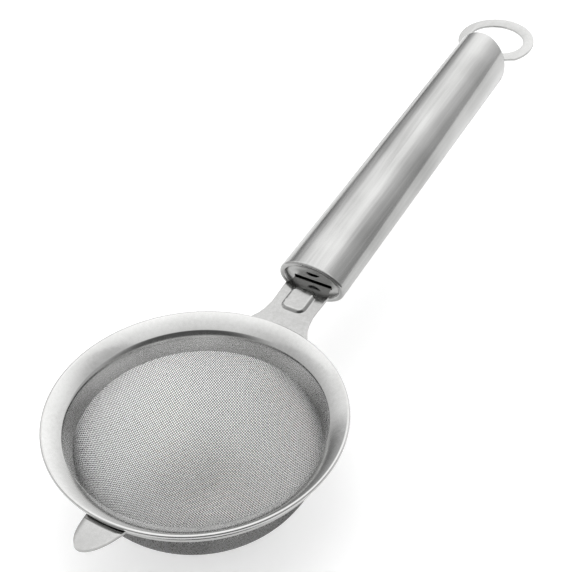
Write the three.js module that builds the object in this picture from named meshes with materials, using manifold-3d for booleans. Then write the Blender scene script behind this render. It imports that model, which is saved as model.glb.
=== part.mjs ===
// Long-handled tea strainer in stainless steel: a pressed wire-mesh bowl held between a
// flanged rim ring and a frame plate, whose neck runs into a hollow handle with a hanging loop.
// Millimetres, +Z up. The origin is the centre of the bowl's flat foot, +X runs to the handle.
import * as THREE from "three";
import { mergeVertices } from "three/addons/utils/BufferGeometryUtils.js";
import Module from "manifold-3d";

// ---- Driving dimensions ----
// Rim ring: a rolled bead outside, a flange dished towards the mouth, and a wall turned down.
const RIM_RADIUS = 40.5; // outside of the bead
const RIM_HEIGHT = 32.6; // top of the bead above the bowl's foot
const RIM_SHEET = 0.4;
const BEAD_RADIUS = 0.6;
const FLANGE_WIDTH = 5.3; // from the outside of the bead in to the mouth
const FLANGE_ANGLE = THREE.MathUtils.degToRad(29.5); // dish of the flange
const WALL_DEPTH = 6.2; // from the mouth down to the wall's free edge
const WALL_TAPER = 2.2; // how far the wall draws in over its depth
const WALL_SHOULDER = 1.0; // size of the curve at the top of the wall

// Mesh bowl, as a closed skin as thick as the woven cloth.
const CLOTH_THICKNESS = 0.4;
const CLOTH_EDGE_WIDTH = 1.2; // from the mouth out to the cloth's turned-out edge
const BOWL_FULLNESS = 2.0; // 2 is an ellipse, more is squarer
const BOWL_FOOT_RADIUS = 7;

// Frame plate: a ring with a collar under the flange, the neck, its tang, and the rest tab.
const PLATE_THICKNESS = 0.8;
const RING_WIDTH = 3.2; // from the mouth out to the ring's outside
const HOLD_TOP = 1.0; // from the mouth down to where cloth and collar turn down the wall
const COLLAR_DEPTH = 3.9; // from the mouth down to the collar's free edge
const NECK_LENGTH = 20.5; // from the rim's outside to the handle's front
const NECK_ANGLE = THREE.MathUtils.degToRad(5.16); // rise of the neck and handle
const NECK_ROOT_HALF = 13.1; // half width where the neck leaves the ring
const NECK_WAIST_HALF = 6.9; // at its narrowest
const NECK_WAIST_AT = 10.5; // from the rim's outside
const NECK_END_HALF = 7.2; // before the shoulders
const NECK_SHOULDER = 1.9; // length over which the neck narrows to the tang
const TANG_HALF = 6.0;
const TANG_LENGTH = 14; // inside the handle, past the cap's face
const TANG_BELOW_AXIS = 1.0; // middle of the tang, under the handle's axis
const RIB_LENGTH = 9.5; // raised pillow pressed into the neck
const RIB_WIDTH = 7.1;
const RIB_HEIGHT = 0.9;
const RIB_TAPER = 1.0; // slope of the pillow's sides
const RIB_TO_HANDLE = 2.3; // from the pillow to the handle's front
const TAB_LENGTH = 10; // beyond the rim
const TAB_HALF = 5.8; // at its root
const TAB_FLANK = 0.79; // share of the root's width that the sides aim for
const TAB_NOSE = 0.47; // share of the root's width that rounds the tip
const TAB_ANGLE = THREE.MathUtils.degToRad(10);
const TAB_GAP = 0.3; // daylight between the bead and the tab
const TAB_CRANK_GAP = 0.5; // from the cloth's edge to the step from the ring up to the tab
const TAB_UNDER_BEAD = 0.9; // how far the flat of the tab runs in under the bead

// Handle: a tube, a wide oval at the front and a tall one at the rear, with its edges rolled in.
const HANDLE_LENGTH = 118;
const HANDLE_FRONT_HALF_WIDTH = 10.67;
const HANDLE_FRONT_HALF_HEIGHT = 6.89;
const HANDLE_REAR_HALF_WIDTH = 8.82;
const HANDLE_REAR_HALF_HEIGHT = 11.43;
const TUBE_WALL = 0.8;
const LIP_WIDTH = 1.8; // rolled edge, seen from the end
const LIP_DEPTH = 1.2; // from the end to the back of the rolled edge
const CAP_THICKNESS = 0.8;
const VENT_HALF_WIDTH = 2.2; // half-moon vent in the front cap
const VENT_HEIGHT = 1.3;
const VENT_ABOVE_SLOT = 1.2;
const SLOT_HEADROOM = 0.5; // extra height of the front cap's slot, over the tang

// Hanging loop: a flat ring with a shank held in the rear cap.
const LOOP_THICKNESS = 0.8;
const LOOP_HALF_WIDTH = 12.9;
const LOOP_HALF_LENGTH = 12.3;
const LOOP_REACH = 24.1; // from the handle's end to the tip
const LOOP_BAND = 3.55; // width of the ring's band
const LOOP_TIP_BAND = 4.14;
const LOOP_THROAT = 4.5; // from the handle's end to the hole
const SHANK_HALF = 5.2;
const SHANK_LENGTH = 14;

// Clearances.
const SEAT_GAP = 0.15; // between layers of the rim
const SLOT_GAP = 0.15; // round a plate in its slot
const CAP_GAP = 0.15; // round a cap in the tube

// Fineness of the facets.
const RING_FACETS = 48;
const TUBE_FACETS = 40;
const CURVE_FACETS = 8;

// ---- Finishes ----
const polished = () => new THREE.MeshStandardMaterial({ color: 0xd9d9d6, metalness: 1, roughness: 0.12 });
const brushed = () => new THREE.MeshStandardMaterial({ color: 0xc9c9c6, metalness: 1, roughness: 0.35 });
const woven = () => new THREE.MeshStandardMaterial({ color: 0xb4b4b2, metalness: 1, roughness: 0.45 });

// ---- Solid helpers ----
const wasm = await Module();
wasm.setup();

// A closed geometry as a manifold solid, after merging its shared vertices.
function solidOf(geometry) {
  const bare = geometry.clone();
  for (const name of Object.keys(bare.attributes)) {
    if (name !== "position") bare.deleteAttribute(name);
  }
  const merged = mergeVertices(bare, 1e-4);
  return new wasm.Manifold(
    new wasm.Mesh({
      numProp: 3,
      vertProperties: merged.attributes.position.array,
      triVerts: new Uint32Array(merged.index.array),
    }),
  );
}

// A manifold solid as an indexed geometry.
function geometryOf(solid) {
  const mesh = solid.getMesh();
  const geometry = new THREE.BufferGeometry();
  geometry.setAttribute("position", new THREE.BufferAttribute(mesh.vertProperties, 3));
  geometry.setIndex(new THREE.BufferAttribute(mesh.triVerts, 1));
  geometry.computeVertexNormals();
  return geometry;
}

// A named mesh of the part.
function piece(name, geometry, material) {
  const mesh = new THREE.Mesh(geometry, material);
  mesh.name = name;
  return mesh;
}

// Revolves a closed outline of (radius, height) points about +Z.
function revolve(outline) {
  const closed = [...outline, outline[0].clone()];
  return new THREE.LatheGeometry(closed, RING_FACETS).rotateX(Math.PI / 2);
}

// Points of an open path, moved sideways by a distance, to the left of its direction.
function offsetPath(path, distance) {
  return path.map((point, i) => {
    const before = path[Math.max(i - 1, 0)];
    const after = path[Math.min(i + 1, path.length - 1)];
    const into = point.clone().sub(before).normalize();
    const out = after.clone().sub(point).normalize();
    const along = into.add(out).normalize();
    return new THREE.Vector2(point.x - along.y * distance, point.y + along.x * distance);
  });
}

// The closed outline of a sheet that follows a path, with its thickness on the path's left.
function sheetOutline(path, thickness) {
  return [...path, ...offsetPath(path, thickness).reverse()];
}

// A flat plate in the XY plane, centred on z = 0.
function plate(shape, thickness) {
  const geometry = new THREE.ExtrudeGeometry(shape, {
    depth: thickness,
    bevelEnabled: false,
    curveSegments: CURVE_FACETS,
  });
  return geometry.translate(0, 0, -thickness / 2);
}

// A rectangle with rounded corners, centred on (x, 0).
function roundedRectangle(x, length, width, radius) {
  const [left, right, half] = [x - length / 2, x + length / 2, width / 2];
  const shape = new THREE.Shape();
  shape.moveTo(left + radius, -half);
  shape.lineTo(right - radius, -half);
  shape.absarc(right - radius, -half + radius, radius, -Math.PI / 2, 0);
  shape.absarc(right - radius, half - radius, radius, 0, Math.PI / 2);
  shape.absarc(left + radius, half - radius, radius, Math.PI / 2, Math.PI);
  shape.absarc(left + radius, -half + radius, radius, Math.PI, 1.5 * Math.PI);
  return shape;
}

// ---- Rim ring ----
const mouthRadius = RIM_RADIUS - FLANGE_WIDTH;
const beadCentre = new THREE.Vector2(RIM_RADIUS - BEAD_RADIUS, RIM_HEIGHT - BEAD_RADIUS);
const flangeNormal = new THREE.Vector2(-Math.sin(FLANGE_ANGLE), Math.cos(FLANGE_ANGLE));
const flangeTop = beadCentre.clone().addScaledVector(flangeNormal, BEAD_RADIUS);
const mouthHeight = flangeTop.y - (flangeTop.x - mouthRadius) * Math.tan(FLANGE_ANGLE);
const wallCurve = new THREE.QuadraticBezierCurve(
  new THREE.Vector2(mouthRadius, mouthHeight),
  new THREE.Vector2(mouthRadius - WALL_SHOULDER, mouthHeight - WALL_SHOULDER),
  new THREE.Vector2(mouthRadius - WALL_TAPER, mouthHeight - WALL_DEPTH),
);

// Share of the wall's curve at a depth below the mouth.
function wallShare(depth) {
  const bend = WALL_DEPTH - 2 * WALL_SHOULDER;
  return depth / (WALL_SHOULDER + Math.sqrt(WALL_SHOULDER * WALL_SHOULDER + bend * depth));
}

// Points of the wall's inner face from share t0 to share t1 of its curve, pushed outwards.
function wallPath(t0, t1, steps, outwards) {
  return Array.from({ length: steps + 1 }, (_, i) => {
    const t = t0 + ((t1 - t0) * i) / steps;
    const tangent = wallCurve.getTangent(t);
    const normal = new THREE.Vector2(-tangent.y, tangent.x);
    return wallCurve.getPoint(t).addScaledVector(normal, outwards);
  });
}

function rimRing() {
  const upper = [flangeTop, ...wallPath(0, 1, 7, 0)];
  const outline = sheetOutline(upper, RIM_SHEET);
  const lowerStart = beadCentre.clone().addScaledVector(flangeNormal, BEAD_RADIUS - RIM_SHEET);
  const beadStart = Math.PI + FLANGE_ANGLE;
  const beadTurn = 1.5 * Math.PI;
  const bead = Array.from({ length: CURVE_FACETS }, (_, i) => {
    const angle = beadStart + (beadTurn * i) / CURVE_FACETS;
    return beadCentre.clone().add(
      new THREE.Vector2(Math.cos(angle), Math.sin(angle)).multiplyScalar(BEAD_RADIUS),
    );
  });
  outline[outline.length - 1] = lowerStart.addScaledVector(
    new THREE.Vector2(-Math.cos(FLANGE_ANGLE), -Math.sin(FLANGE_ANGLE)),
    BEAD_RADIUS,
  );
  return revolve([...outline, ...bead]);
}

// ---- Mesh bowl ----
const clothOffset = RIM_SHEET + SEAT_GAP;
const clothTop = mouthHeight - clothOffset; // top of the cloth's turned-out edge
const clothEdge = mouthRadius + CLOTH_EDGE_WIDTH;

function meshBowl() {
  const held = wallPath(wallShare(HOLD_TOP), 1, 3, clothOffset);
  const edge = new THREE.Vector2(clothEdge, clothTop);
  const corner = new THREE.Vector2(held[0].x + CLOTH_THICKNESS, clothTop);
  const equator = held[held.length - 1];
  const power = 2 / BOWL_FULLNESS;
  const footShare = BOWL_FOOT_RADIUS / equator.x;
  const footAngle = Math.acos(Math.pow(footShare, 1 / power));
  const depth = (equator.y - CLOTH_THICKNESS) / Math.pow(Math.sin(footAngle), power);
  const steps = 11;
  const dish = Array.from({ length: steps }, (_, i) => {
    const angle = (footAngle * (i + 1)) / steps;
    return new THREE.Vector2(
      equator.x * Math.pow(Math.cos(angle), power),
      equator.y - depth * Math.pow(Math.sin(angle), power),
    );
  });
  const inner = [edge, corner, ...held, ...dish, new THREE.Vector2(0, CLOTH_THICKNESS)];
  const outer = offsetPath(inner, CLOTH_THICKNESS);
  outer[outer.length - 1].set(0, 0);
  outer[outer.length - 2].set(BOWL_FOOT_RADIUS, 0);
  return revolve([...inner, ...outer.reverse()]);
}

// ---- Frame plate ----
const ringRadius = mouthRadius + RING_WIDTH;
const ringTop = clothTop - CLOTH_THICKNESS - SEAT_GAP;
const plateLevel = ringTop - PLATE_THICKNESS / 2; // middle of the ring's plate
const collarOffset = clothOffset + CLOTH_THICKNESS + SEAT_GAP;

function frameRing() {
  const collar = wallPath(wallShare(HOLD_TOP), wallShare(COLLAR_DEPTH), 3, collarOffset);
  const corner = new THREE.Vector2(collar[0].x + PLATE_THICKNESS / 4, ringTop);
  const upper = [new THREE.Vector2(ringRadius, ringTop), corner, ...collar];
  return revolve(sheetOutline(upper, PLATE_THICKNESS));
}

// Neck and tang in their own plane: x from the rim's outside, along the rise.
const capFace = LIP_DEPTH + SLOT_GAP; // front of a cap, from the tube's end
const neckRootX = ringRadius * Math.cos(Math.asin(NECK_ROOT_HALF / ringRadius)) - RIM_RADIUS;

function neckShape() {
  const flare = NECK_WAIST_AT - neckRootX;
  const tangEnd = NECK_LENGTH + capFace + TANG_LENGTH;
  const shape = new THREE.Shape();
  shape.moveTo(neckRootX, -NECK_ROOT_HALF);
  shape.bezierCurveTo(
    neckRootX + 0.25 * flare,
    -NECK_ROOT_HALF + 0.4 * (NECK_ROOT_HALF - NECK_WAIST_HALF),
    neckRootX + 0.47 * flare,
    -NECK_WAIST_HALF,
    NECK_WAIST_AT,
    -NECK_WAIST_HALF,
  );
  shape.lineTo(NECK_LENGTH - NECK_SHOULDER, -NECK_END_HALF);
  shape.lineTo(NECK_LENGTH, -TANG_HALF);
  shape.lineTo(tangEnd, -TANG_HALF);
  shape.lineTo(tangEnd, TANG_HALF);
  shape.lineTo(NECK_LENGTH, TANG_HALF);
  shape.lineTo(NECK_LENGTH - NECK_SHOULDER, NECK_END_HALF);
  shape.lineTo(NECK_WAIST_AT, NECK_WAIST_HALF);
  shape.bezierCurveTo(
    neckRootX + 0.47 * flare,
    NECK_WAIST_HALF,
    neckRootX + 0.25 * flare,
    NECK_ROOT_HALF - 0.4 * (NECK_ROOT_HALF - NECK_WAIST_HALF),
    neckRootX,
    NECK_ROOT_HALF,
  );
  return shape;
}

// A pillow with sloping sides that stands on z = 0, shrunk all round by an inset.
function pillow(inset) {
  const centre = NECK_LENGTH - RIB_TO_HANDLE - RIB_LENGTH / 2;
  const cornerRadius = RIB_WIDTH / 3;
  const slope = RIB_TAPER;
  const shape = roundedRectangle(
    centre,
    RIB_LENGTH - 2 * (inset + slope),
    RIB_WIDTH - 2 * (inset + slope),
    cornerRadius - slope - inset / 2,
  );
  const geometry = new THREE.ExtrudeGeometry(shape, {
    depth: RIB_HEIGHT,
    bevelEnabled: true,
    bevelThickness: RIB_HEIGHT,
    bevelSize: slope,
    bevelSegments: 1,
    curveSegments: 3,
  });
  return geometry;
}

// The plane of the neck: on the rim's outside at plate level, rising to the handle.
const neckFrame = new THREE.Matrix4()
  .makeTranslation(RIM_RADIUS, 0, plateLevel)
  .multiply(new THREE.Matrix4().makeRotationY(-NECK_ANGLE));

function neckPlate() {
  const flat = solidOf(plate(neckShape(), PLATE_THICKNESS));
  const half = PLATE_THICKNESS / 2;
  const raised = solidOf(pillow(0)).translate([0, 0, half - RIB_HEIGHT]);
  const hollow = solidOf(pillow(PLATE_THICKNESS)).translate([0, 0, -half - RIB_HEIGHT]);
  const neck = flat.add(raised).subtract(hollow);
  return solidOf(geometryOf(neck).applyMatrix4(neckFrame));
}

// Rest tab: its side view as a cranked strip, kept inside its plan outline.
function restTab() {
  const rootX = ringRadius - 2 * PLATE_THICKNESS;
  const crankTop = RIM_HEIGHT - 2 * BEAD_RADIUS - TAB_GAP - PLATE_THICKNESS / 2;
  const beadSide = RIM_RADIUS - BEAD_RADIUS;
  const crankEnd = beadSide - TAB_UNDER_BEAD;
  const reach = RIM_RADIUS + TAB_LENGTH;
  const flankX = -(beadSide + reach) / 2;
  const heightAt = (x) => crankTop + (x - beadSide) * Math.tan(TAB_ANGLE);
  const middle = [
    new THREE.Vector2(-rootX, plateLevel),
    new THREE.Vector2(-(clothEdge + TAB_CRANK_GAP), plateLevel),
    new THREE.Vector2(-crankEnd, heightAt(crankEnd)),
    new THREE.Vector2(-reach - 1, heightAt(reach + 1)),
  ];
  const under = offsetPath(middle, PLATE_THICKNESS / 2);
  const side = new THREE.Shape([...under, ...offsetPath(middle, -PLATE_THICKNESS / 2).reverse()]);
  const strip = plate(side, 2 * TAB_HALF + 2).rotateX(Math.PI / 2);
  const plan = new THREE.Shape();
  plan.moveTo(-rootX, TAB_HALF);
  plan.lineTo(-beadSide, TAB_HALF);
  plan.bezierCurveTo(flankX, TAB_FLANK * TAB_HALF, -reach, TAB_NOSE * TAB_HALF, -reach, 0);
  plan.bezierCurveTo(-reach, -TAB_NOSE * TAB_HALF, flankX, -TAB_FLANK * TAB_HALF, -beadSide, -TAB_HALF);
  plan.lineTo(-rootX, -TAB_HALF);
  const column = plate(plan, RIM_HEIGHT).translate(0, 0, RIM_HEIGHT);
  return solidOf(strip).intersect(solidOf(column));
}

function framePlate() {
  return geometryOf(solidOf(frameRing()).add(neckPlate()).add(restTab()));
}

// ---- Handle ----
// Half width and half height of the tube's outside at a distance x from its front.
function tubeHalves(x) {
  const share = x / HANDLE_LENGTH;
  return [
    THREE.MathUtils.lerp(HANDLE_FRONT_HALF_WIDTH, HANDLE_REAR_HALF_WIDTH, share),
    THREE.MathUtils.lerp(HANDLE_FRONT_HALF_HEIGHT, HANDLE_REAR_HALF_HEIGHT, share),
  ];
}

// The tube is revolved round, then pressed oval ring by ring.
function handleTube() {
  const round = HANDLE_FRONT_HALF_WIDTH;
  const nose = LIP_WIDTH / 2;
  const noseSteps = 6;
  const lip = Array.from({ length: noseSteps + 1 }, (_, i) => {
    const angle = Math.PI - (Math.PI * i) / noseSteps;
    return new THREE.Vector2(
      round - nose + nose * Math.cos(angle),
      nose - nose * Math.sin(angle),
    );
  });
  const front = [
    new THREE.Vector2(round - TUBE_WALL, LIP_DEPTH),
    new THREE.Vector2(round - LIP_WIDTH, LIP_DEPTH),
    ...lip,
  ];
  const rear = front.map((p) => new THREE.Vector2(p.x, HANDLE_LENGTH - p.y)).reverse();
  const outline = [...front, ...rear];
  const geometry = new THREE.LatheGeometry([...outline, outline[0].clone()], TUBE_FACETS);
  const position = geometry.attributes.position;
  for (let i = 0; i < position.count; i++) {
    const x = position.getY(i);
    const radius = Math.hypot(position.getX(i), position.getZ(i));
    const inwards = round - radius;
    const [halfWidth, halfHeight] = tubeHalves(x);
    position.setXYZ(
      i,
      x,
      ((halfWidth - inwards) * position.getZ(i)) / radius,
      ((halfHeight - inwards) * position.getX(i)) / radius,
    );
  }
  return geometry;
}

// A cap across the tube at x, with a slot for a plate, headroom over that, and maybe a vent.
function cap(x, slotHalf, slotThickness, slotHeight, headroom, vented) {
  const [halfWidth, halfHeight] = tubeHalves(x);
  const inset = TUBE_WALL + CAP_GAP;
  const shape = new THREE.Shape();
  shape.absellipse(0, 0, halfWidth - inset, halfHeight - inset, 0, 2 * Math.PI);
  const slotX = slotHalf + SLOT_GAP;
  const slotY = slotThickness / 2 + SLOT_GAP;
  const slotTop = slotHeight + slotY + headroom;
  const slot = new THREE.Path();
  slot.moveTo(-slotX, slotHeight - slotY);
  slot.lineTo(slotX, slotHeight - slotY);
  slot.lineTo(slotX, slotTop);
  slot.lineTo(-slotX, slotTop);
  shape.holes.push(slot);
  if (vented) {
    const ventTop = slotTop + VENT_ABOVE_SLOT + VENT_HEIGHT;
    const vent = new THREE.Path();
    vent.absellipse(0, ventTop, VENT_HALF_WIDTH, VENT_HEIGHT, Math.PI, 2 * Math.PI);
    shape.holes.push(vent);
  }
  const geometry = new THREE.ExtrudeGeometry(shape, {
    depth: CAP_THICKNESS,
    bevelEnabled: false,
    curveSegments: 2 * CURVE_FACETS,
  });
  const across = new THREE.Vector3(0, 1, 0);
  const up = new THREE.Vector3(0, 0, 1);
  const along = new THREE.Vector3(1, 0, 0);
  return geometry
    .applyMatrix4(new THREE.Matrix4().makeBasis(across, up, along))
    .translate(x, 0, 0);
}

const rearCapFace = HANDLE_LENGTH - capFace; // outer face of the rear cap

// The loop in its own plane: x from the handle's rear end.
function hangingLoop() {
  const outerCentre = LOOP_REACH - LOOP_HALF_LENGTH;
  const holeTip = LOOP_REACH - LOOP_TIP_BAND;
  const holeCentre = (LOOP_THROAT + holeTip) / 2;
  const shankEnd = -capFace - SHANK_LENGTH;
  const ring = new THREE.Shape();
  ring.absellipse(outerCentre, 0, LOOP_HALF_LENGTH, LOOP_HALF_WIDTH, 0, 2 * Math.PI);
  const shank = new THREE.Shape();
  const flareX = outerCentre - 0.6 * LOOP_HALF_LENGTH;
  const flareY = 0.8 * LOOP_HALF_WIDTH;
  shank.moveTo(shankEnd, -SHANK_HALF);
  shank.lineTo(0, -SHANK_HALF);
  shank.quadraticCurveTo(0.5 * flareX, -SHANK_HALF, flareX, -flareY);
  shank.lineTo(flareX, flareY);
  shank.quadraticCurveTo(0.5 * flareX, SHANK_HALF, 0, SHANK_HALF);
  shank.lineTo(shankEnd, SHANK_HALF);
  const hole = new THREE.Shape();
  hole.absellipse(
    holeCentre,
    0,
    (holeTip - LOOP_THROAT) / 2,
    LOOP_HALF_WIDTH - LOOP_BAND,
    0,
    2 * Math.PI,
  );
  const body = solidOf(plate(ring, LOOP_THICKNESS)).add(solidOf(plate(shank, LOOP_THICKNESS)));
  return geometryOf(body.subtract(solidOf(plate(hole, 2 * LOOP_THICKNESS))));
}

// ---- Assembly ----
const strainer = new THREE.Group();
strainer.add(piece("rim_ring", rimRing(), polished()));
strainer.add(piece("mesh_bowl", meshBowl(), woven()));
strainer.add(piece("frame_plate", framePlate(), polished()));

// The handle's parts rise with the neck, measured from the tube's front.
const handle = new THREE.Group();
handle.applyMatrix4(neckFrame);
const tube = new THREE.Group();
tube.position.set(NECK_LENGTH, 0, TANG_BELOW_AXIS);
handle.add(tube);
strainer.add(handle);
tube.add(piece("handle_tube", handleTube(), brushed()));
const frontCap = cap(capFace, TANG_HALF, PLATE_THICKNESS, -TANG_BELOW_AXIS, SLOT_HEADROOM, true);
tube.add(piece("front_cap", frontCap, polished()));
const rearCap = cap(rearCapFace - CAP_THICKNESS, SHANK_HALF, LOOP_THICKNESS, 0, 0, false);
tube.add(piece("rear_cap", rearCap, polished()));
const loop = piece("hanging_loop", hangingLoop(), polished());
loop.position.x = HANDLE_LENGTH;
tube.add(loop);

export default strainer;
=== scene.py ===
"""Long-handled tea strainer in stainless steel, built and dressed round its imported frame.

Each sub-assembly is a class whose fields are its sizes. Sizes are in millimetres and are turned
into metres when a mesh is finished. The origin is the centre of the bowl's foot, +Z is up out of
the bowl, and +X runs to the handle.
"""

import logging
import math
from collections.abc import Callable, Sequence
from dataclasses import dataclass, field
from enum import Enum

import bmesh
import bpy
import numpy as np
from mathutils import Matrix, Vector

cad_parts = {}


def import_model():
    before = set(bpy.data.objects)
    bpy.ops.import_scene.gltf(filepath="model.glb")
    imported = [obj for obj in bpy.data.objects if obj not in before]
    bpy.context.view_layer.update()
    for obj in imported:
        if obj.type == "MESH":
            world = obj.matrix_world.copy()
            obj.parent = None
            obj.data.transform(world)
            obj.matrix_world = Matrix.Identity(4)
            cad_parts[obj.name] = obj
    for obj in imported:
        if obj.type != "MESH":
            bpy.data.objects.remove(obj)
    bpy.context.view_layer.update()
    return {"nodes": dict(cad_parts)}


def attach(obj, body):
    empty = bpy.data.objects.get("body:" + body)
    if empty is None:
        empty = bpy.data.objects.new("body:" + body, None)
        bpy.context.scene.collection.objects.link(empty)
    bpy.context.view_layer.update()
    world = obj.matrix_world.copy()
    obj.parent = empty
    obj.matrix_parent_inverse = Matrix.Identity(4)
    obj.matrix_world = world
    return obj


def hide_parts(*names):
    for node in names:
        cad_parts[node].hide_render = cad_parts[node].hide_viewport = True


MM = 0.001
BODY = "root"
EDGE_CREASE = 1.2
BROAD_GRAIN = 45.0
FINE_SHARE = 0.65
GRAIN_DEPTH = 0.0001
WARMTH_DARK = 0.985
WARMTH_LIGHT = 0.99

LOG = logging.getLogger("tea_strainer")

Point = tuple[float, float]


class Slot(Enum):
    """Material slots of the record."""

    RIM = "rim_steel"
    WIRE = "woven_wire"
    FRAME = "frame_steel"
    HANDLE = "handle_steel"
    CAP = "cap_steel"
    LOOP = "loop_steel"


@dataclass(frozen=True)
class SteelFinish:
    """A stainless steel surface whose grain, polish and tone vary over the piece.

    Attributes:
        name: The material's name.
        dark: Tone of the darkest patches, 0 to 1.
        light: Tone of the lightest patches, 0 to 1.
        smooth: Roughness where the surface is best polished.
        rough: Roughness where it is least polished.
        grain: Fineness of the pattern along x, y and z, in cycles per metre.
        tilt: Turn of the pattern about the y axis, in radians.
        relief: Strength of the bump made by the grain.
        stretch: How far reflections spread across the grain, 0 to 1.
    """

    name: str
    dark: float
    light: float
    smooth: float
    rough: float
    grain: tuple[float, float, float]
    tilt: float = 0.0
    relief: float = 0.02
    stretch: float = 0.0

    def material(self) -> bpy.types.Material:
        """Makes the node material.

        Returns:
            The new material.
        """
        steel = bpy.data.materials.new(self.name)
        steel.use_nodes = True
        nodes, links = steel.node_tree.nodes, steel.node_tree.links
        shader = nodes["Principled BSDF"]
        shader.inputs["Metallic"].default_value = 1.0
        shader.inputs["Anisotropic"].default_value = self.stretch
        place = nodes.new("ShaderNodeTexCoord")
        turn = nodes.new("ShaderNodeMapping")
        turn.inputs["Rotation"].default_value = (0.0, self.tilt, 0.0)
        links.new(place.outputs["Object"], turn.inputs["Vector"])
        scale = nodes.new("ShaderNodeMapping")
        scale.inputs["Scale"].default_value = self.grain
        links.new(turn.outputs["Vector"], scale.inputs["Vector"])
        fine = nodes.new("ShaderNodeTexNoise")
        fine.inputs["Scale"].default_value = 1.0
        fine.inputs["Detail"].default_value = 4.0
        links.new(scale.outputs["Vector"], fine.inputs["Vector"])
        broad = nodes.new("ShaderNodeTexNoise")
        broad.inputs["Scale"].default_value = BROAD_GRAIN
        broad.inputs["Detail"].default_value = 2.0
        links.new(turn.outputs["Vector"], broad.inputs["Vector"])
        both = nodes.new("ShaderNodeMath")
        both.operation = "MULTIPLY_ADD"
        links.new(fine.outputs["Fac"], both.inputs[0])
        both.inputs[1].default_value = FINE_SHARE
        links.new(broad.outputs["Fac"], both.inputs[2])
        tone = nodes.new("ShaderNodeValToRGB")
        tone.color_ramp.elements[0].position = 0.55
        tone.color_ramp.elements[0].color = (self.dark, self.dark, self.dark * WARMTH_DARK, 1.0)
        tone.color_ramp.elements[1].position = 1.0
        tone.color_ramp.elements[1].color = (self.light, self.light, self.light * WARMTH_LIGHT, 1.0)
        links.new(both.outputs["Value"], tone.inputs["Fac"])
        links.new(tone.outputs["Color"], shader.inputs["Base Color"])
        polish = nodes.new("ShaderNodeMapRange")
        polish.inputs["From Min"].default_value = 0.3
        polish.inputs["From Max"].default_value = 0.7
        polish.inputs["To Min"].default_value = self.smooth
        polish.inputs["To Max"].default_value = self.rough
        links.new(fine.outputs["Fac"], polish.inputs["Value"])
        links.new(polish.outputs["Result"], shader.inputs["Roughness"])
        relief = nodes.new("ShaderNodeBump")
        relief.inputs["Strength"].default_value = self.relief
        relief.inputs["Distance"].default_value = GRAIN_DEPTH
        links.new(fine.outputs["Fac"], relief.inputs["Height"])
        links.new(relief.outputs["Normal"], shader.inputs["Normal"])
        return steel


@dataclass(frozen=True)
class Finishes:
    """The finishes of the strainer, one per slot.

    Attributes:
        tilt: How far the handle rises, in radians, which its grain follows.
        made: The materials made so far.
    """

    tilt: float
    made: dict[Slot, bpy.types.Material] = field(default_factory=dict)

    def of(self, slot: Slot) -> bpy.types.Material:
        """Gives the material of a slot, making it the first time.

        Args:
            slot: The record's slot.

        Returns:
            The material.
        """
        recipes = {
            Slot.RIM: SteelFinish("polished_rim", 0.46, 0.52, 0.1, 0.17, (900, 900, 900)),
            Slot.WIRE: SteelFinish("drawn_wire", 0.14, 0.26, 0.2, 0.4, (1600, 1600, 1600)),
            Slot.FRAME: SteelFinish("polished_plate", 0.36, 0.43, 0.1, 0.18, (900, 900, 900)),
            Slot.HANDLE: SteelFinish(
                "satin_handle", 0.33, 0.45, 0.14, 0.26, (14, 900, 900), self.tilt, 0.05, 0.3
            ),
            Slot.CAP: SteelFinish("pressed_cap", 0.55, 0.66, 0.4, 0.55, (500, 500, 500)),
            Slot.LOOP: SteelFinish("semi_bright_loop", 0.38, 0.45, 0.16, 0.26, (700, 700, 700)),
        }
        if slot not in self.made:
            self.made[slot] = recipes[slot].material()
        return self.made[slot]

    def dress(self, piece: bpy.types.Object, slot: Slot, *nodes: str) -> bpy.types.Object:
        """Gives a new piece the material of its slot and its body, and hides the CAD nodes that it
        stands for.

        Args:
            piece: The finished piece.
            slot: The record's slot.
            nodes: The CAD nodes that it replaces.

        Returns:
            The same piece.
        """
        piece.data.materials.clear()
        piece.data.materials.append(self.of(slot))
        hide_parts(*nodes)
        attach(piece, BODY)
        LOG.info("%s: %d faces", piece.name, len(piece.data.polygons))
        return piece


def offset_path(path: Sequence[Point], distance: float) -> list[Point]:
    """Moves an open path sideways, to the left of its direction.

    Args:
        path: Points of the path.
        distance: How far to move it.

    Returns:
        The moved points.
    """
    moved = []
    for i, point in enumerate(path):
        here = Vector(point)
        into = (here - Vector(path[max(i - 1, 0)])).normalized()
        out = (Vector(path[min(i + 1, len(path) - 1)]) - here).normalized()
        along = (into + out).normalized()
        moved.append((here.x - along.y * distance, here.y + along.x * distance))
    return moved


def finished(mesh: bmesh.types.BMesh, name: str, smooth_angle: float = 40.0) -> bpy.types.Object:
    """Turns a bmesh in millimetres into an object in metres, smooth across its gentle edges.

    Args:
        mesh: The shape, which is freed.
        name: The piece's name.
        smooth_angle: Edges sharper than this many degrees stay crisp.

    Returns:
        The new object, at the origin.
    """
    bmesh.ops.remove_doubles(mesh, verts=mesh.verts, dist=1e-5)
    bmesh.ops.recalc_face_normals(mesh, faces=mesh.faces)
    bmesh.ops.scale(mesh, vec=(MM, MM, MM), verts=mesh.verts)
    for face in mesh.faces:
        face.smooth = True
    for edge in mesh.edges:
        if len(edge.link_faces) == 2 and edge.calc_face_angle() > math.radians(smooth_angle):
            edge.smooth = False
    data = bpy.data.meshes.new(name)
    mesh.to_mesh(data)
    mesh.free()
    piece = bpy.data.objects.new(name, data)
    bpy.context.scene.collection.objects.link(piece)
    return piece


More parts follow.
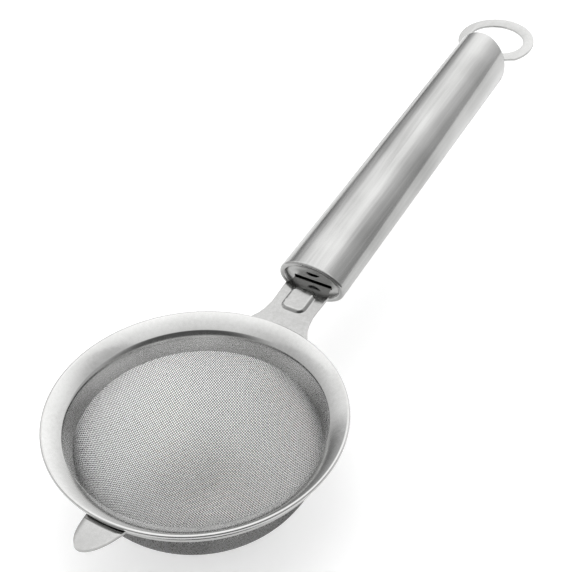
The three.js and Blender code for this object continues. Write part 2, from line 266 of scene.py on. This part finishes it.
def revolved(outline: Sequence[Point], steps: int) -> bmesh.types.BMesh:
    """Spins a closed outline of (radius, height) points about +Z.

    Args:
        outline: The points, in order round the section.
        steps: How many facets the full turn has.

    Returns:
        The closed ring.
    """
    mesh = bmesh.new()
    verts = [mesh.verts.new((r, 0.0, z)) for r, z in outline]
    edges = [mesh.edges.new((v, verts[i - 1])) for i, v in enumerate(verts)]
    bmesh.ops.spin(
        mesh,
        geom=verts + edges,
        cent=(0, 0, 0),
        axis=(0, 0, 1),
        angle=math.tau,
        steps=steps,
        use_merge=True,
    )
    return mesh


def bent_plate(
    along: Sequence[float],
    half_width: Callable[[float], float],
    height: Callable[[float, float], float],
    columns: int,
    thickness: float,
    edge: float,
) -> bmesh.types.BMesh:
    """Makes a sheet that follows a height over its plan, with a thickness and rounded edges.

    Args:
        along: Places along x of the rows of the sheet.
        half_width: Half the width at a place along x.
        height: Height of the middle of the sheet over (x, y).
        columns: Number of faces across the sheet.
        thickness: Thickness of the sheet.
        edge: Size of the rounding of its edges.

    Returns:
        The closed plate.
    """
    mesh = bmesh.new()
    rows = len(along) - 1
    bmesh.ops.create_grid(mesh, x_segments=rows, y_segments=columns, size=0.5)
    for vert in mesh.verts:
        x = along[round((vert.co.x + 0.5) * rows)]
        y = 2.0 * vert.co.y * half_width(x)
        vert.co = (x, y, height(x, y))
    bmesh.ops.recalc_face_normals(mesh, faces=mesh.faces)
    mesh.normal_update()
    for vert in mesh.verts:
        vert.co += vert.normal * thickness / 2
    bmesh.ops.solidify(mesh, geom=mesh.faces[:], thickness=thickness)
    mesh.normal_update()
    sharp = [e for e in mesh.edges if len(e.link_faces) == 2 and e.calc_face_angle() > EDGE_CREASE]
    bmesh.ops.bevel(
        mesh,
        geom=sharp,
        offset=edge,
        segments=2,
        profile=0.5,
        affect="EDGES",
        clamp_overlap=True,
        material=-1,
    )
    return mesh


@dataclass
class Rim:
    """The rim ring: rolled bead, dished flange and the wall turned down into the bowl."""

    radius: float = 40.5
    top: float = 32.6
    sheet: float = 0.4
    bead: float = 0.6
    flange_width: float = 5.3
    flange_angle: float = math.radians(29.5)
    wall_depth: float = 6.2
    wall_taper: float = 2.2
    wall_shoulder: float = 1.0
    facets: int = 180

    @property
    def mouth(self) -> Point:
        """Gives the flange's inner edge.

        Returns:
            Its radius and height.
        """
        mouth_radius = self.radius - self.flange_width
        start = self.flange_start
        drop = (start[0] - mouth_radius) * math.tan(self.flange_angle)
        return (mouth_radius, start[1] - drop)

    @property
    def flange_start(self) -> Point:
        """Gives the place where the flange's top leaves the bead.

        Returns:
            Its radius and height.
        """
        return (
            self.radius - self.bead - self.bead * math.sin(self.flange_angle),
            self.top - self.bead + self.bead * math.cos(self.flange_angle),
        )

    def wall(self, first: float, last: float, steps: int, outwards: float) -> list[Point]:
        """Gives points of the wall's inner face, pushed outwards.

        Args:
            first: Share of the wall's curve to start at.
            last: Share of the wall's curve to end at.
            steps: Number of pieces.
            outwards: Distance from the inner face.

        Returns:
            The points, from the top down.
        """
        radius, height = self.mouth
        a = Vector((radius, height))
        b = Vector((radius - self.wall_shoulder, height - self.wall_shoulder))
        c = Vector((radius - self.wall_taper, height - self.wall_depth))
        points = []
        for i in range(steps + 1):
            t = first + (last - first) * i / steps
            here = a * (1 - t) ** 2 + b * 2 * t * (1 - t) + c * t**2
            tangent = ((b - a) * (1 - t) + (c - b) * t).normalized()
            points.append((here.x - tangent.y * outwards, here.y + tangent.x * outwards))
        return points

    def share_at(self, depth: float) -> float:
        """Gives the share of the wall's curve at a depth below the mouth.

        Args:
            depth: Depth below the mouth.

        Returns:
            The share, 0 at the mouth and 1 at the wall's foot.
        """
        bend = self.wall_depth - 2 * self.wall_shoulder
        return depth / (self.wall_shoulder + math.sqrt(self.wall_shoulder**2 + bend * depth))

    def build(self, finishes: Finishes) -> bpy.types.Object:
        """Builds and dresses the rim ring.

        Args:
            finishes: The strainer's finishes.

        Returns:
            The ring.
        """
        start = self.flange_start
        upper = [start, *self.wall(0.0, 1.0, 14, 0.0)]
        under = offset_path(upper, self.sheet)[1:]
        centre = Vector((self.radius - self.bead, self.top - self.bead))
        first = math.pi + self.flange_angle
        bead = [
            (centre.x + self.bead * math.cos(a), centre.y + self.bead * math.sin(a))
            for a in (first + 1.5 * math.pi * i / 14 for i in range(14))
        ]
        ring = finished(revolved([*upper, *reversed(under), *bead], self.facets), "rim_sheet", 50)
        return finishes.dress(ring, Slot.RIM, "rim_ring")


@dataclass
class WovenBowl:
    """The bowl of plain-woven wire, whose edge is turned out between the rim and the frame."""

    rim: Rim
    cloth: float = 0.4
    gap: float = 0.15
    edge_width: float = 1.2
    hold_top: float = 1.0
    pitch: float = 0.61
    wire: float = 0.2
    weave_turn: float = math.radians(68.0)
    foot_radius: float = 7.0

    @property
    def edge_radius(self) -> float:
        """Gives the radius of the cloth's turned-out edge."""
        return self.rim.mouth[0] + self.edge_width

    def profile(self) -> np.ndarray:
        """Gives the middle of the cloth from the foot's centre to the turned-out edge.

        Returns:
            Rows of radius and height.
        """
        offset = self.rim.sheet + self.gap
        held = self.rim.wall(self.rim.share_at(self.hold_top), 1.0, 8, offset)
        top = self.rim.mouth[1] - offset
        radius, level = held[-1]
        foot_angle = math.acos(self.foot_radius / radius)
        depth = (level - self.cloth) / math.sin(foot_angle)
        dish = [
            (radius * math.cos(a), level - depth * math.sin(a))
            for a in (foot_angle * (i + 1) / 60 for i in range(60))
        ]
        corner = (held[0][0] + self.cloth, top)
        edge = (self.edge_radius, top)
        inner = [edge, corner, *held, *dish, (0.0, self.cloth)]
        middle = offset_path(inner, self.cloth / 2)
        middle[-1] = (0.0, self.cloth / 2)
        return np.array(middle[::-1])

    def wires(self, name: str, across: bool) -> bpy.types.Object:
        """Builds one family of parallel wires, each going over and under the other family.

        Args:
            name: The piece's name.
            across: True for the wires that run across the first family.

        Returns:
            The family as one mesh.
        """
        profile = self.profile()
        steps = np.hypot(*np.diff(profile, axis=0).T)
        arc = np.concatenate([[0.0], np.cumsum(steps)])
        slope = np.gradient(profile, arc, axis=0)
        count = int(arc[-1] / self.pitch)
        curve = bpy.data.curves.new(name, "CURVE")
        curve.dimensions = "3D"
        curve.bevel_depth = self.wire / 2 * MM
        curve.bevel_resolution = 0
        curve.use_fill_caps = True
        for i in range(-count, count + 1):
            reach = math.sqrt(max(arc[-1] ** 2 - (i * self.pitch) ** 2, 0.0))
            crossings = np.arange(-int(reach / self.pitch), int(reach / self.pitch) + 1)
            if len(crossings) < 4:
                continue
            p, q = np.full(len(crossings), i * self.pitch), crossings * self.pitch
            if across:
                p, q = q, p
            far = np.hypot(p, q)
            angle = np.arctan2(q, p) + self.weave_turn
            radius, height = np.interp(far, arc, profile[:, 0]), np.interp(far, arc, profile[:, 1])
            run, rise = np.interp(far, arc, slope[:, 0]), np.interp(far, arc, slope[:, 1])
            side = self.wire / 2 * np.where((crossings + i) % 2 == 0, 1.0, -1.0)
            if across:
                side = -side
            radius, height = radius - rise * side, height + run * side
            line = np.ones((len(crossings), 4))
            line[:, 0] = radius * np.cos(angle) * MM
            line[:, 1] = radius * np.sin(angle) * MM
            line[:, 2] = height * MM
            spline = curve.splines.new("POLY")
            spline.points.add(len(crossings) - 1)
            spline.points.foreach_set("co", line.ravel())
        return meshed(curve, name)

    def build(self, finishes: Finishes) -> list[bpy.types.Object]:
        """Builds and dresses both families of wires.

        Args:
            finishes: The strainer's finishes.

        Returns:
            The two pieces.
        """
        warp = self.wires("bowl_warp_wires", False)
        weft = self.wires("bowl_weft_wires", True)
        return [finishes.dress(piece, Slot.WIRE, "mesh_bowl") for piece in (warp, weft)]


def meshed(curve: bpy.types.Curve, name: str) -> bpy.types.Object:
    """Turns a curve into a plain mesh piece and removes the curve.

    Args:
        curve: The curve, in metres.
        name: The piece's name.

    Returns:
        The mesh piece, smooth-shaded.
    """
    holder = bpy.data.objects.new(name + "_line", curve)
    bpy.context.scene.collection.objects.link(holder)
    bpy.context.view_layer.update()
    graph = bpy.context.evaluated_depsgraph_get()
    data = bpy.data.meshes.new_from_object(holder.evaluated_get(graph))
    bpy.data.objects.remove(holder)
    bpy.data.curves.remove(curve)
    data.name = name
    data.shade_smooth()
    piece = bpy.data.objects.new(name, data)
    bpy.context.scene.collection.objects.link(piece)
    return piece


def cut_sheet(
    name: str, outlines: Sequence[Sequence[Point]], thickness: float, edge: float, place: Matrix
) -> bpy.types.Object:
    """Cuts a flat sheet to an outline and its holes, with rounded edges, and sets it in place.

    Args:
        name: The piece's name.
        outlines: The outer outline, then the holes.
        thickness: Thickness of the sheet.
        edge: Rounding of its edges.
        place: Where its middle plane goes, in millimetres.

    Returns:
        The sheet.
    """
    curve = bpy.data.curves.new(name, "CURVE")
    curve.dimensions = "2D"
    curve.fill_mode = "BOTH"
    curve.extrude = (thickness / 2 - edge) * MM
    curve.bevel_depth = edge * MM
    curve.bevel_resolution = 2
    curve.offset = -edge * MM
    for outline in outlines:
        spline = curve.splines.new("POLY")
        spline.points.add(len(outline) - 1)
        spline.use_cyclic_u = True
        for point, (x, y) in zip(spline.points, outline, strict=True):
            point.co = (x * MM, y * MM, 0.0, 1.0)
    flat = meshed(curve, name + "_flat")
    mesh = bmesh.new()
    mesh.from_mesh(flat.data)
    bpy.data.objects.remove(flat)
    bmesh.ops.scale(mesh, vec=(1 / MM, 1 / MM, 1 / MM), verts=mesh.verts)
    bmesh.ops.transform(mesh, matrix=place, verts=mesh.verts)
    return finished(mesh, name, 35)


@dataclass
class FramePlate:
    """The frame stamping: ring and collar under the rim, the neck with its rib, and the tab."""

    rim: Rim
    bowl: WovenBowl
    thickness: float = 0.8
    ring_width: float = 3.2
    collar_depth: float = 3.9
    neck_length: float = 20.5
    neck_angle: float = math.radians(5.16)
    neck_places: tuple[float, ...] = (-4.4, -1.5, 0.5, 2.5, 4.3, 6.5, 9.5, 12.0, 14.5, 17.0, 18.5)
    neck_halves: tuple[float, ...] = (13.1, 11.6, 10.2, 9.1, 8.1, 7.4, 6.92, 6.92, 7.03, 7.15, 7.1)
    tang_half: float = 6.0
    tang_end: float = 35.8
    rib_length: float = 9.5
    rib_width: float = 7.6
    rib_height: float = 0.9
    rib_to_handle: float = 2.3
    rib_slope: float = 0.9
    rib_corner: float = 2.2
    row_pitch: float = 0.2
    edge: float = 0.12
    tab_length: float = 10.0
    tab_half: float = 5.8
    tab_flank: float = 0.34
    tab_nose: float = 3.2
    tab_blunt: float = 0.004
    tab_angle: float = math.radians(10.0)
    tab_gap: float = 0.3
    tab_crank_gap: float = 0.5
    tab_under_bead: float = 0.9

    @property
    def ring_radius(self) -> float:
        """Gives the radius of the ring's outside."""
        return self.rim.mouth[0] + self.ring_width

    @property
    def ring_top(self) -> float:
        """Gives the height of the top of the ring's plate."""
        return self.rim.mouth[1] - self.rim.sheet - self.bowl.cloth - 2 * self.bowl.gap

    @property
    def level(self) -> float:
        """Gives the height of the middle of the ring's plate."""
        return self.ring_top - self.thickness / 2

    def neck_frame(self) -> Matrix:
        """Gives the plane of the neck.

        Returns:
            Its place on the rim's outside, rising to the handle.
        """
        place = Matrix.Translation((self.rim.radius, 0.0, self.level))
        return place @ Matrix.Rotation(-self.neck_angle, 4, "Y")

    def ring(self) -> bpy.types.Object:
        """Builds the ring and collar.

        Returns:
            The turned piece.
        """
        offset = self.rim.sheet + self.bowl.cloth + 2 * self.bowl.gap
        first = self.rim.share_at(self.bowl.hold_top)
        collar = self.rim.wall(first, self.rim.share_at(self.collar_depth), 8, offset)
        corner = (collar[0][0] + self.thickness / 4, self.ring_top)
        upper = [(self.ring_radius, self.ring_top), corner, *collar]
        outline = [*upper, *reversed(offset_path(upper, self.thickness))]
        return finished(revolved(outline, self.rim.facets), "frame_ring")

    def rib(self, x: float, y: float) -> float:
        """Gives the height of the pressed rib over the neck's plane.

        Args:
            x: Place along the neck, from the rim's outside.
            y: Place across it.

        Returns:
            The height, 0 outside the rib.
        """
        centre = self.neck_length - self.rib_to_handle - self.rib_length / 2
        dx = max(abs(x - centre) - self.rib_length / 2 + self.rib_corner, 0.0)
        dy = max(abs(y) - self.rib_width / 2 + self.rib_corner, 0.0)
        inside = (self.rib_corner - math.hypot(dx, dy)) / self.rib_slope
        share = min(max(inside, 0.0), 1.0)
        return self.rib_height * share * share * (3 - 2 * share)

    def neck_half(self, x: float) -> float:
        """Gives half the neck's width.

        Args:
            x: Place along the neck, from the rim's outside.

        Returns:
            Half the width there.
        """
        if x >= self.neck_length:
            return self.tang_half
        places = (*self.neck_places, self.neck_length)
        return float(np.interp(x, places, (*self.neck_halves, self.tang_half)))

    def neck(self) -> bpy.types.Object:
        """Builds the neck and its tang.

        Returns:
            The neck, with the tang that goes into the handle.
        """
        root = self.neck_places[0]
        count = math.ceil((self.neck_length - root) / self.row_pitch)
        rows = [root + self.row_pitch * i for i in range(count + 1)]
        tang = [rows[-1] + (self.tang_end - rows[-1]) * i / 6 for i in range(1, 7)]
        mesh = bent_plate([*rows, *tang], self.neck_half, self.rib, 64, self.thickness, self.edge)
        bmesh.ops.transform(mesh, matrix=self.neck_frame(), verts=mesh.verts)
        return finished(mesh, "neck_plate")

    def tab(self) -> bpy.types.Object:
        """Builds the rest tab, cranked up from the ring and rising outwards.

        Returns:
            The tab.
        """
        root = self.ring_radius - 2 * self.thickness
        bead_side = self.rim.radius - self.rim.bead
        crank_top = self.rim.top - 2 * self.rim.bead - self.tab_gap - self.thickness / 2
        reach = self.rim.radius + self.tab_length

        def height(x: float, _y: float) -> float:
            """Gives the height of the middle of the tab.

            Args:
                x: Place along the tab.

            Returns:
                The height, the same all across the tab.
            """
            rise = math.tan(self.tab_angle)
            crank_end = bead_side - self.tab_under_bead
            places = (root, self.bowl.edge_radius + self.tab_crank_gap, crank_end, reach)
            heights = (
                self.level,
                self.level,
                crank_top - self.tab_under_bead * rise,
                crank_top + (reach - bead_side) * rise,
            )
            return float(np.interp(-x, places, heights))

        def half(x: float) -> float:
            """Gives half the width of the tab.

            Args:
                x: Place along the tab.

            Returns:
                Half the width, which narrows to a round nose.
            """
            past = max(-x - bead_side, 0.0) / (reach - bead_side)
            straight = 1 - self.tab_flank * min(past, 1.0)
            return self.tab_half * straight * math.sqrt(max(1 - past**self.tab_nose, self.tab_blunt))

        rows = [-root - (bead_side - root) * i / 20 for i in range(20)]
        out = reach - bead_side
        rows += [-bead_side - out * math.sin(math.pi / 2 * i / 26) for i in range(27)]
        mesh = bent_plate(rows[::-1], half, height, 8, self.thickness, self.edge)
        return finished(mesh, "rest_tab")

    def build(self, finishes: Finishes) -> list[bpy.types.Object]:
        """Builds and dresses the stamping's parts.

        Args:
            finishes: The strainer's finishes.

        Returns:
            The ring, the neck and the tab.
        """
        parts = (self.ring(), self.neck(), self.tab())
        return [finishes.dress(part, Slot.FRAME, "frame_plate") for part in parts]


@dataclass
class Handle:
    """The tube, a wide oval in front and a tall one behind, with its edges rolled in."""

    frame: FramePlate
    length: float = 118.0
    front: Point = (10.67, 6.89)
    rear: Point = (8.82, 11.43)
    wall: float = 0.8
    lip_width: float = 1.8
    lip_depth: float = 1.2
    tang_below_axis: float = 1.0
    cap_sheet: float = 0.3
    cap_edge: float = 0.05
    slot_headroom: float = 0.5
    vent_half_width: float = 2.2
    vent_height: float = 1.3
    vent_above_slot: float = 1.2
    facets: int = 128

    def axes(self) -> Matrix:
        """Gives the frame of the tube.

        Returns:
            Its front centre, with x along the tube.
        """
        place = Matrix.Translation((self.frame.neck_length, 0.0, self.tang_below_axis))
        return self.frame.neck_frame() @ place

    def tube(self) -> bpy.types.Object:
        """Builds the tube by a spin about its axis, pressed oval ring by ring.

        Returns:
            The tube.
        """
        blank = self.front[0]
        nose = self.lip_width / 2
        lip = [
            (nose - nose * math.sin(a), blank - nose + nose * math.cos(a))
            for a in (math.pi * (1 - i / 12) for i in range(13))
        ]
        front = [(self.lip_depth, blank - self.wall), (self.lip_depth, blank - self.lip_width), *lip]
        rear = [(self.length - x, r) for x, r in front][::-1]
        mesh = bmesh.new()
        verts = [mesh.verts.new((x, 0.0, r)) for x, r in (*front, *rear)]
        edges = [mesh.edges.new((v, verts[i - 1])) for i, v in enumerate(verts)]
        bmesh.ops.spin(
            mesh,
            geom=verts + edges,
            cent=(0, 0, 0),
            axis=(1, 0, 0),
            angle=math.tau,
            steps=self.facets,
            use_merge=True,
        )
        for vert in mesh.verts:
            share = vert.co.x / self.length
            radius = math.hypot(vert.co.y, vert.co.z)
            width = self.front[0] + (self.rear[0] - self.front[0]) * share
            height = self.front[1] + (self.rear[1] - self.front[1]) * share
            vert.co.y *= (width - blank + radius) / radius
            vert.co.z *= (height - blank + radius) / radius
        bmesh.ops.transform(mesh, matrix=self.axes(), verts=mesh.verts)
        return finished(mesh, "handle_shell")

    def cap(self) -> bpy.types.Object:
        """Builds the front cap, with the tang's slot and the half-moon vent above it.

        Returns:
            The cap.
        """
        gap = self.frame.bowl.gap
        inset = self.wall + gap
        turn = [math.tau * i / 96 for i in range(96)]
        outside = [
            ((self.front[0] - inset) * math.cos(a), (self.front[1] - inset) * math.sin(a))
            for a in turn
        ]
        half = self.frame.tang_half + gap
        below = -self.tang_below_axis - self.frame.thickness / 2 - gap
        above = below + self.frame.thickness + 2 * gap + self.slot_headroom
        slot = [(-half, below), (half, below), (half, above), (-half, above)]
        vent_top = above + self.vent_above_slot + self.vent_height
        vent = [
            (self.vent_half_width * math.cos(a), vent_top - self.vent_height * math.sin(a))
            for a in (math.pi * i / 24 for i in range(25))
        ]
        depth = self.lip_depth + gap + self.cap_sheet / 2
        across = Matrix(((0, 0, 1, 0), (1, 0, 0, 0), (0, 1, 0, 0), (0, 0, 0, 1)))
        place = self.axes() @ Matrix.Translation((depth, 0.0, 0.0)) @ across
        return cut_sheet("slotted_cap", (outside, slot, vent), self.cap_sheet, self.cap_edge, place)

    def build(self, finishes: Finishes, rear_cap: bpy.types.Object) -> list[bpy.types.Object]:
        """Builds and dresses the tube and the front cap, and dresses the rear cap.

        Args:
            finishes: The strainer's finishes.
            rear_cap: The frame's rear cap.

        Returns:
            The tube and the front cap.
        """
        rear_cap.data.materials.clear()
        rear_cap.data.materials.append(finishes.of(Slot.CAP))
        LOG.info("rear_cap: dressed")
        tube = finishes.dress(self.tube(), Slot.HANDLE, "handle_tube")
        return [tube, finishes.dress(self.cap(), Slot.CAP, "front_cap")]


@dataclass
class HangingLoop:
    """The flat loop with its shank in the rear cap."""

    handle: Handle
    thickness: float = 0.8
    half_width: float = 12.9
    half_length: float = 12.3
    reach: float = 24.1
    band: float = 3.55
    tip_band: float = 4.14
    throat: float = 4.5
    shank_half: float = 5.2
    shank_length: float = 15.4
    flare_start: float = -0.6
    flare_reach: float = 0.5
    edge: float = 0.16

    def outside(self) -> list[Point]:
        """Gives the outline of the ring and its shank.

        Returns:
            The points, in order round it.
        """
        centre = self.reach - self.half_length
        meet = math.acos(self.flare_start)
        ring = [
            (centre + self.half_length * math.cos(a), self.half_width * math.sin(a))
            for a in (meet * (i / 45 - 1) for i in range(91))
        ]
        flare = ring[-1]
        side = []
        for i in range(1, 9):
            t = i / 8
            x = flare[0] * (1 - t) ** 2 + flare[0] * self.flare_reach * 2 * t * (1 - t)
            y = flare[1] * (1 - t) ** 2 + self.shank_half * (2 * t * (1 - t) + t * t)
            side.append((x, y))
        end = (-self.shank_length, self.shank_half)
        below = [(x, -y) for x, y in (*side, end)][::-1]
        return [*ring, *side, end, *below]

    def hole(self) -> list[Point]:
        """Gives the outline of the hole.

        Returns:
            The points, in order round it.
        """
        tip = self.reach - self.tip_band
        centre, half = (tip + self.throat) / 2, (tip - self.throat) / 2
        wide = self.half_width - self.band
        turn = [math.tau * i / 96 for i in range(96)]
        return [(centre + half * math.cos(a), wide * math.sin(a)) for a in turn]

    def build(self, finishes: Finishes) -> bpy.types.Object:
        """Builds and dresses the loop.

        Args:
            finishes: The strainer's finishes.

        Returns:
            The loop.
        """
        place = self.handle.axes() @ Matrix.Translation((self.handle.length, 0.0, 0.0))
        outlines = (self.outside(), self.hole())
        plate = cut_sheet("loop_plate", outlines, self.thickness, self.edge, place)
        return finishes.dress(plate, Slot.LOOP, "hanging_loop")


@dataclass(frozen=True)
class Glow:
    """A soft patch of the studio's surround.

    Attributes:
        azimuth: Compass direction of its middle, in degrees from +X.
        elevation: Height of its middle, in degrees.
        spread: Angle from its middle at which it has faded out, in degrees.
        core: Angle from its middle within which it is at its strongest, in degrees.
        strength: Light that it adds, or takes away where negative.
    """

    azimuth: float
    elevation: float
    spread: float
    core: float
    strength: float

    def direction(self) -> tuple[float, float, float]:
        """Gives the direction of its middle.

        Returns:
            The unit vector.
        """
        turn, rise = math.radians(self.azimuth), math.radians(self.elevation)
        return (
            math.cos(turn) * math.cos(rise),
            math.sin(turn) * math.cos(rise),
            math.sin(rise),
        )


@dataclass
class Studio:
    """Pale floor, soft surround and light, and the camera.

    Attributes:
        camera_place: Where the camera stands, in millimetres.
        camera_heading: Compass direction that it looks in, from +X, in radians.
        camera_dip: How far it looks down, in radians.
        camera_roll: How far it is turned about its own view, in radians.
        lens: Its focal length.
        sensor: Width of its sensor.
        floor_half: Half the side of the floor, in millimetres.
        floor_drop: How far the floor lies below the bowl's foot, in millimetres.
        floor_tone: Tone of the floor, 0 to 1.
        floor_glow: Light that the floor gives off by itself.
        surround: Light of the surround, away from its patches.
        glows: Patches of the surround.
    """

    camera_place: tuple[float, float, float] = (-196.79, -154.32, 290.27)
    camera_heading: float = math.radians(32.292)
    camera_dip: float = math.radians(40.8471)
    camera_roll: float = math.radians(-2.7525)
    lens: float = 86.16
    sensor: float = 36.0
    floor_half: float = 3000.0
    floor_drop: float = 0.3
    floor_tone: float = 0.92
    floor_glow: float = 0.24
    surround: float = 0.8
    glows: tuple[Glow, ...] = (
        Glow(38.0, 52.0, 58.0, 20.0, 0.8),
        Glow(-148.0, 76.0, 40.0, 5.0, 0.35),
        Glow(-8.0, 22.0, 42.0, 10.0, 0.35),
        Glow(50.0, 13.0, 25.0, 12.0, -0.7),
        Glow(-142.0, 0.0, 75.0, 30.0, -0.66),
        Glow(-60.0, 0.0, 40.0, 15.0, -0.2),
    )

    def sky(self) -> None:
        """Paints the surround: an even grey with soft brighter and darker patches."""
        world = bpy.data.worlds.new("studio_surround")
        world.use_nodes = True
        nodes, links = world.node_tree.nodes, world.node_tree.links
        place = nodes.new("ShaderNodeTexCoord")
        total = nodes.new("ShaderNodeValue").outputs["Value"]
        total.default_value = self.surround
        for glow in self.glows:
            facing = nodes.new("ShaderNodeVectorMath")
            facing.operation = "DOT_PRODUCT"
            links.new(place.outputs["Generated"], facing.inputs[0])
            facing.inputs[1].default_value = glow.direction()
            fade = nodes.new("ShaderNodeMapRange")
            fade.interpolation_type = "SMOOTHSTEP"
            fade.inputs["From Min"].default_value = math.cos(math.radians(glow.spread))
            fade.inputs["From Max"].default_value = math.cos(math.radians(glow.core))
            fade.inputs["To Min"].default_value = 0.0
            fade.inputs["To Max"].default_value = glow.strength
            links.new(facing.outputs["Value"], fade.inputs["Value"])
            join = nodes.new("ShaderNodeMath")
            join.operation = "ADD"
            links.new(total, join.inputs[0])
            links.new(fade.outputs["Result"], join.inputs[1])
            total = join.outputs["Value"]
        links.new(total, nodes["Background"].inputs["Strength"])
        nodes["Background"].inputs["Color"].default_value = (1.0, 1.0, 1.0, 1.0)
        bpy.context.scene.world = world

    def floor(self) -> None:
        """Lays the pale floor under the bowl's foot."""
        mesh = bmesh.new()
        bmesh.ops.create_grid(mesh, x_segments=1, y_segments=1, size=self.floor_half)
        ground = finished(mesh, "studio_floor")
        ground.location.z = -self.floor_drop * MM
        paint = bpy.data.materials.new("pale_floor")
        paint.use_nodes = True
        shader = paint.node_tree.nodes["Principled BSDF"]
        shader.inputs["Base Color"].default_value = (*(self.floor_tone,) * 3, 1.0)
        shader.inputs["Roughness"].default_value = 0.9
        shader.inputs["Emission Color"].default_value = (1.0, 1.0, 1.0, 1.0)
        shader.inputs["Emission Strength"].default_value = self.floor_glow
        ground.data.materials.append(paint)

    def light(
        self, name: str, place: tuple[float, float, float], size: float, power: float
    ) -> None:
        """Hangs a square soft box that faces the strainer.

        Args:
            name: The light's name.
            place: Its place, in metres.
            size: Its side, in metres.
            power: Its power, in watts.
        """
        lamp = bpy.data.lights.new(name, "AREA")
        lamp.size = size
        lamp.energy = power
        holder = bpy.data.objects.new(name, lamp)
        holder.location = place
        aim = Vector((0.06, 0.0, 0.03)) - Vector(place)
        holder.rotation_euler = aim.to_track_quat("-Z", "Y").to_euler()
        bpy.context.scene.collection.objects.link(holder)

    def camera(self) -> None:
        """Sets up the camera."""
        heading = Matrix.Rotation(self.camera_heading - math.pi / 2, 4, "Z")
        dip = Matrix.Rotation(math.pi / 2 - self.camera_dip, 4, "X")
        roll = Matrix.Rotation(self.camera_roll, 4, "Z")
        data = bpy.data.cameras.new("camera")
        data.lens = self.lens
        data.sensor_width = self.sensor
        data.clip_start = 0.01
        holder = bpy.data.objects.new("camera", data)
        place = Matrix.Translation(Vector(self.camera_place) * MM)
        holder.matrix_world = place @ heading @ dip @ roll
        bpy.context.scene.collection.objects.link(holder)
        bpy.context.scene.camera = holder

    def build(self) -> None:
        """Builds the whole studio."""
        self.floor()
        self.sky()
        self.light("key_box", (-0.1, 0.2, 1.8), 2.6, 5.0)
        self.camera()
        bpy.context.scene.view_settings.view_transform = "Standard"
        LOG.info("studio: ready")


def main() -> None:
    """Builds the strainer round its frame, then the studio."""
    logging.basicConfig(level=logging.INFO, format="%(message)s")
    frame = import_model()
    rim = Rim()
    bowl = WovenBowl(rim)
    plate = FramePlate(rim, bowl)
    handle = Handle(plate)
    loop = HangingLoop(handle)
    finishes = Finishes(plate.neck_angle)
    rim.build(finishes)
    bowl.build(finishes)
    plate.build(finishes)
    handle.build(finishes, frame["nodes"]["rear_cap"])
    loop.build(finishes)
    Studio().build()


if __name__ == "__main__":
    main()
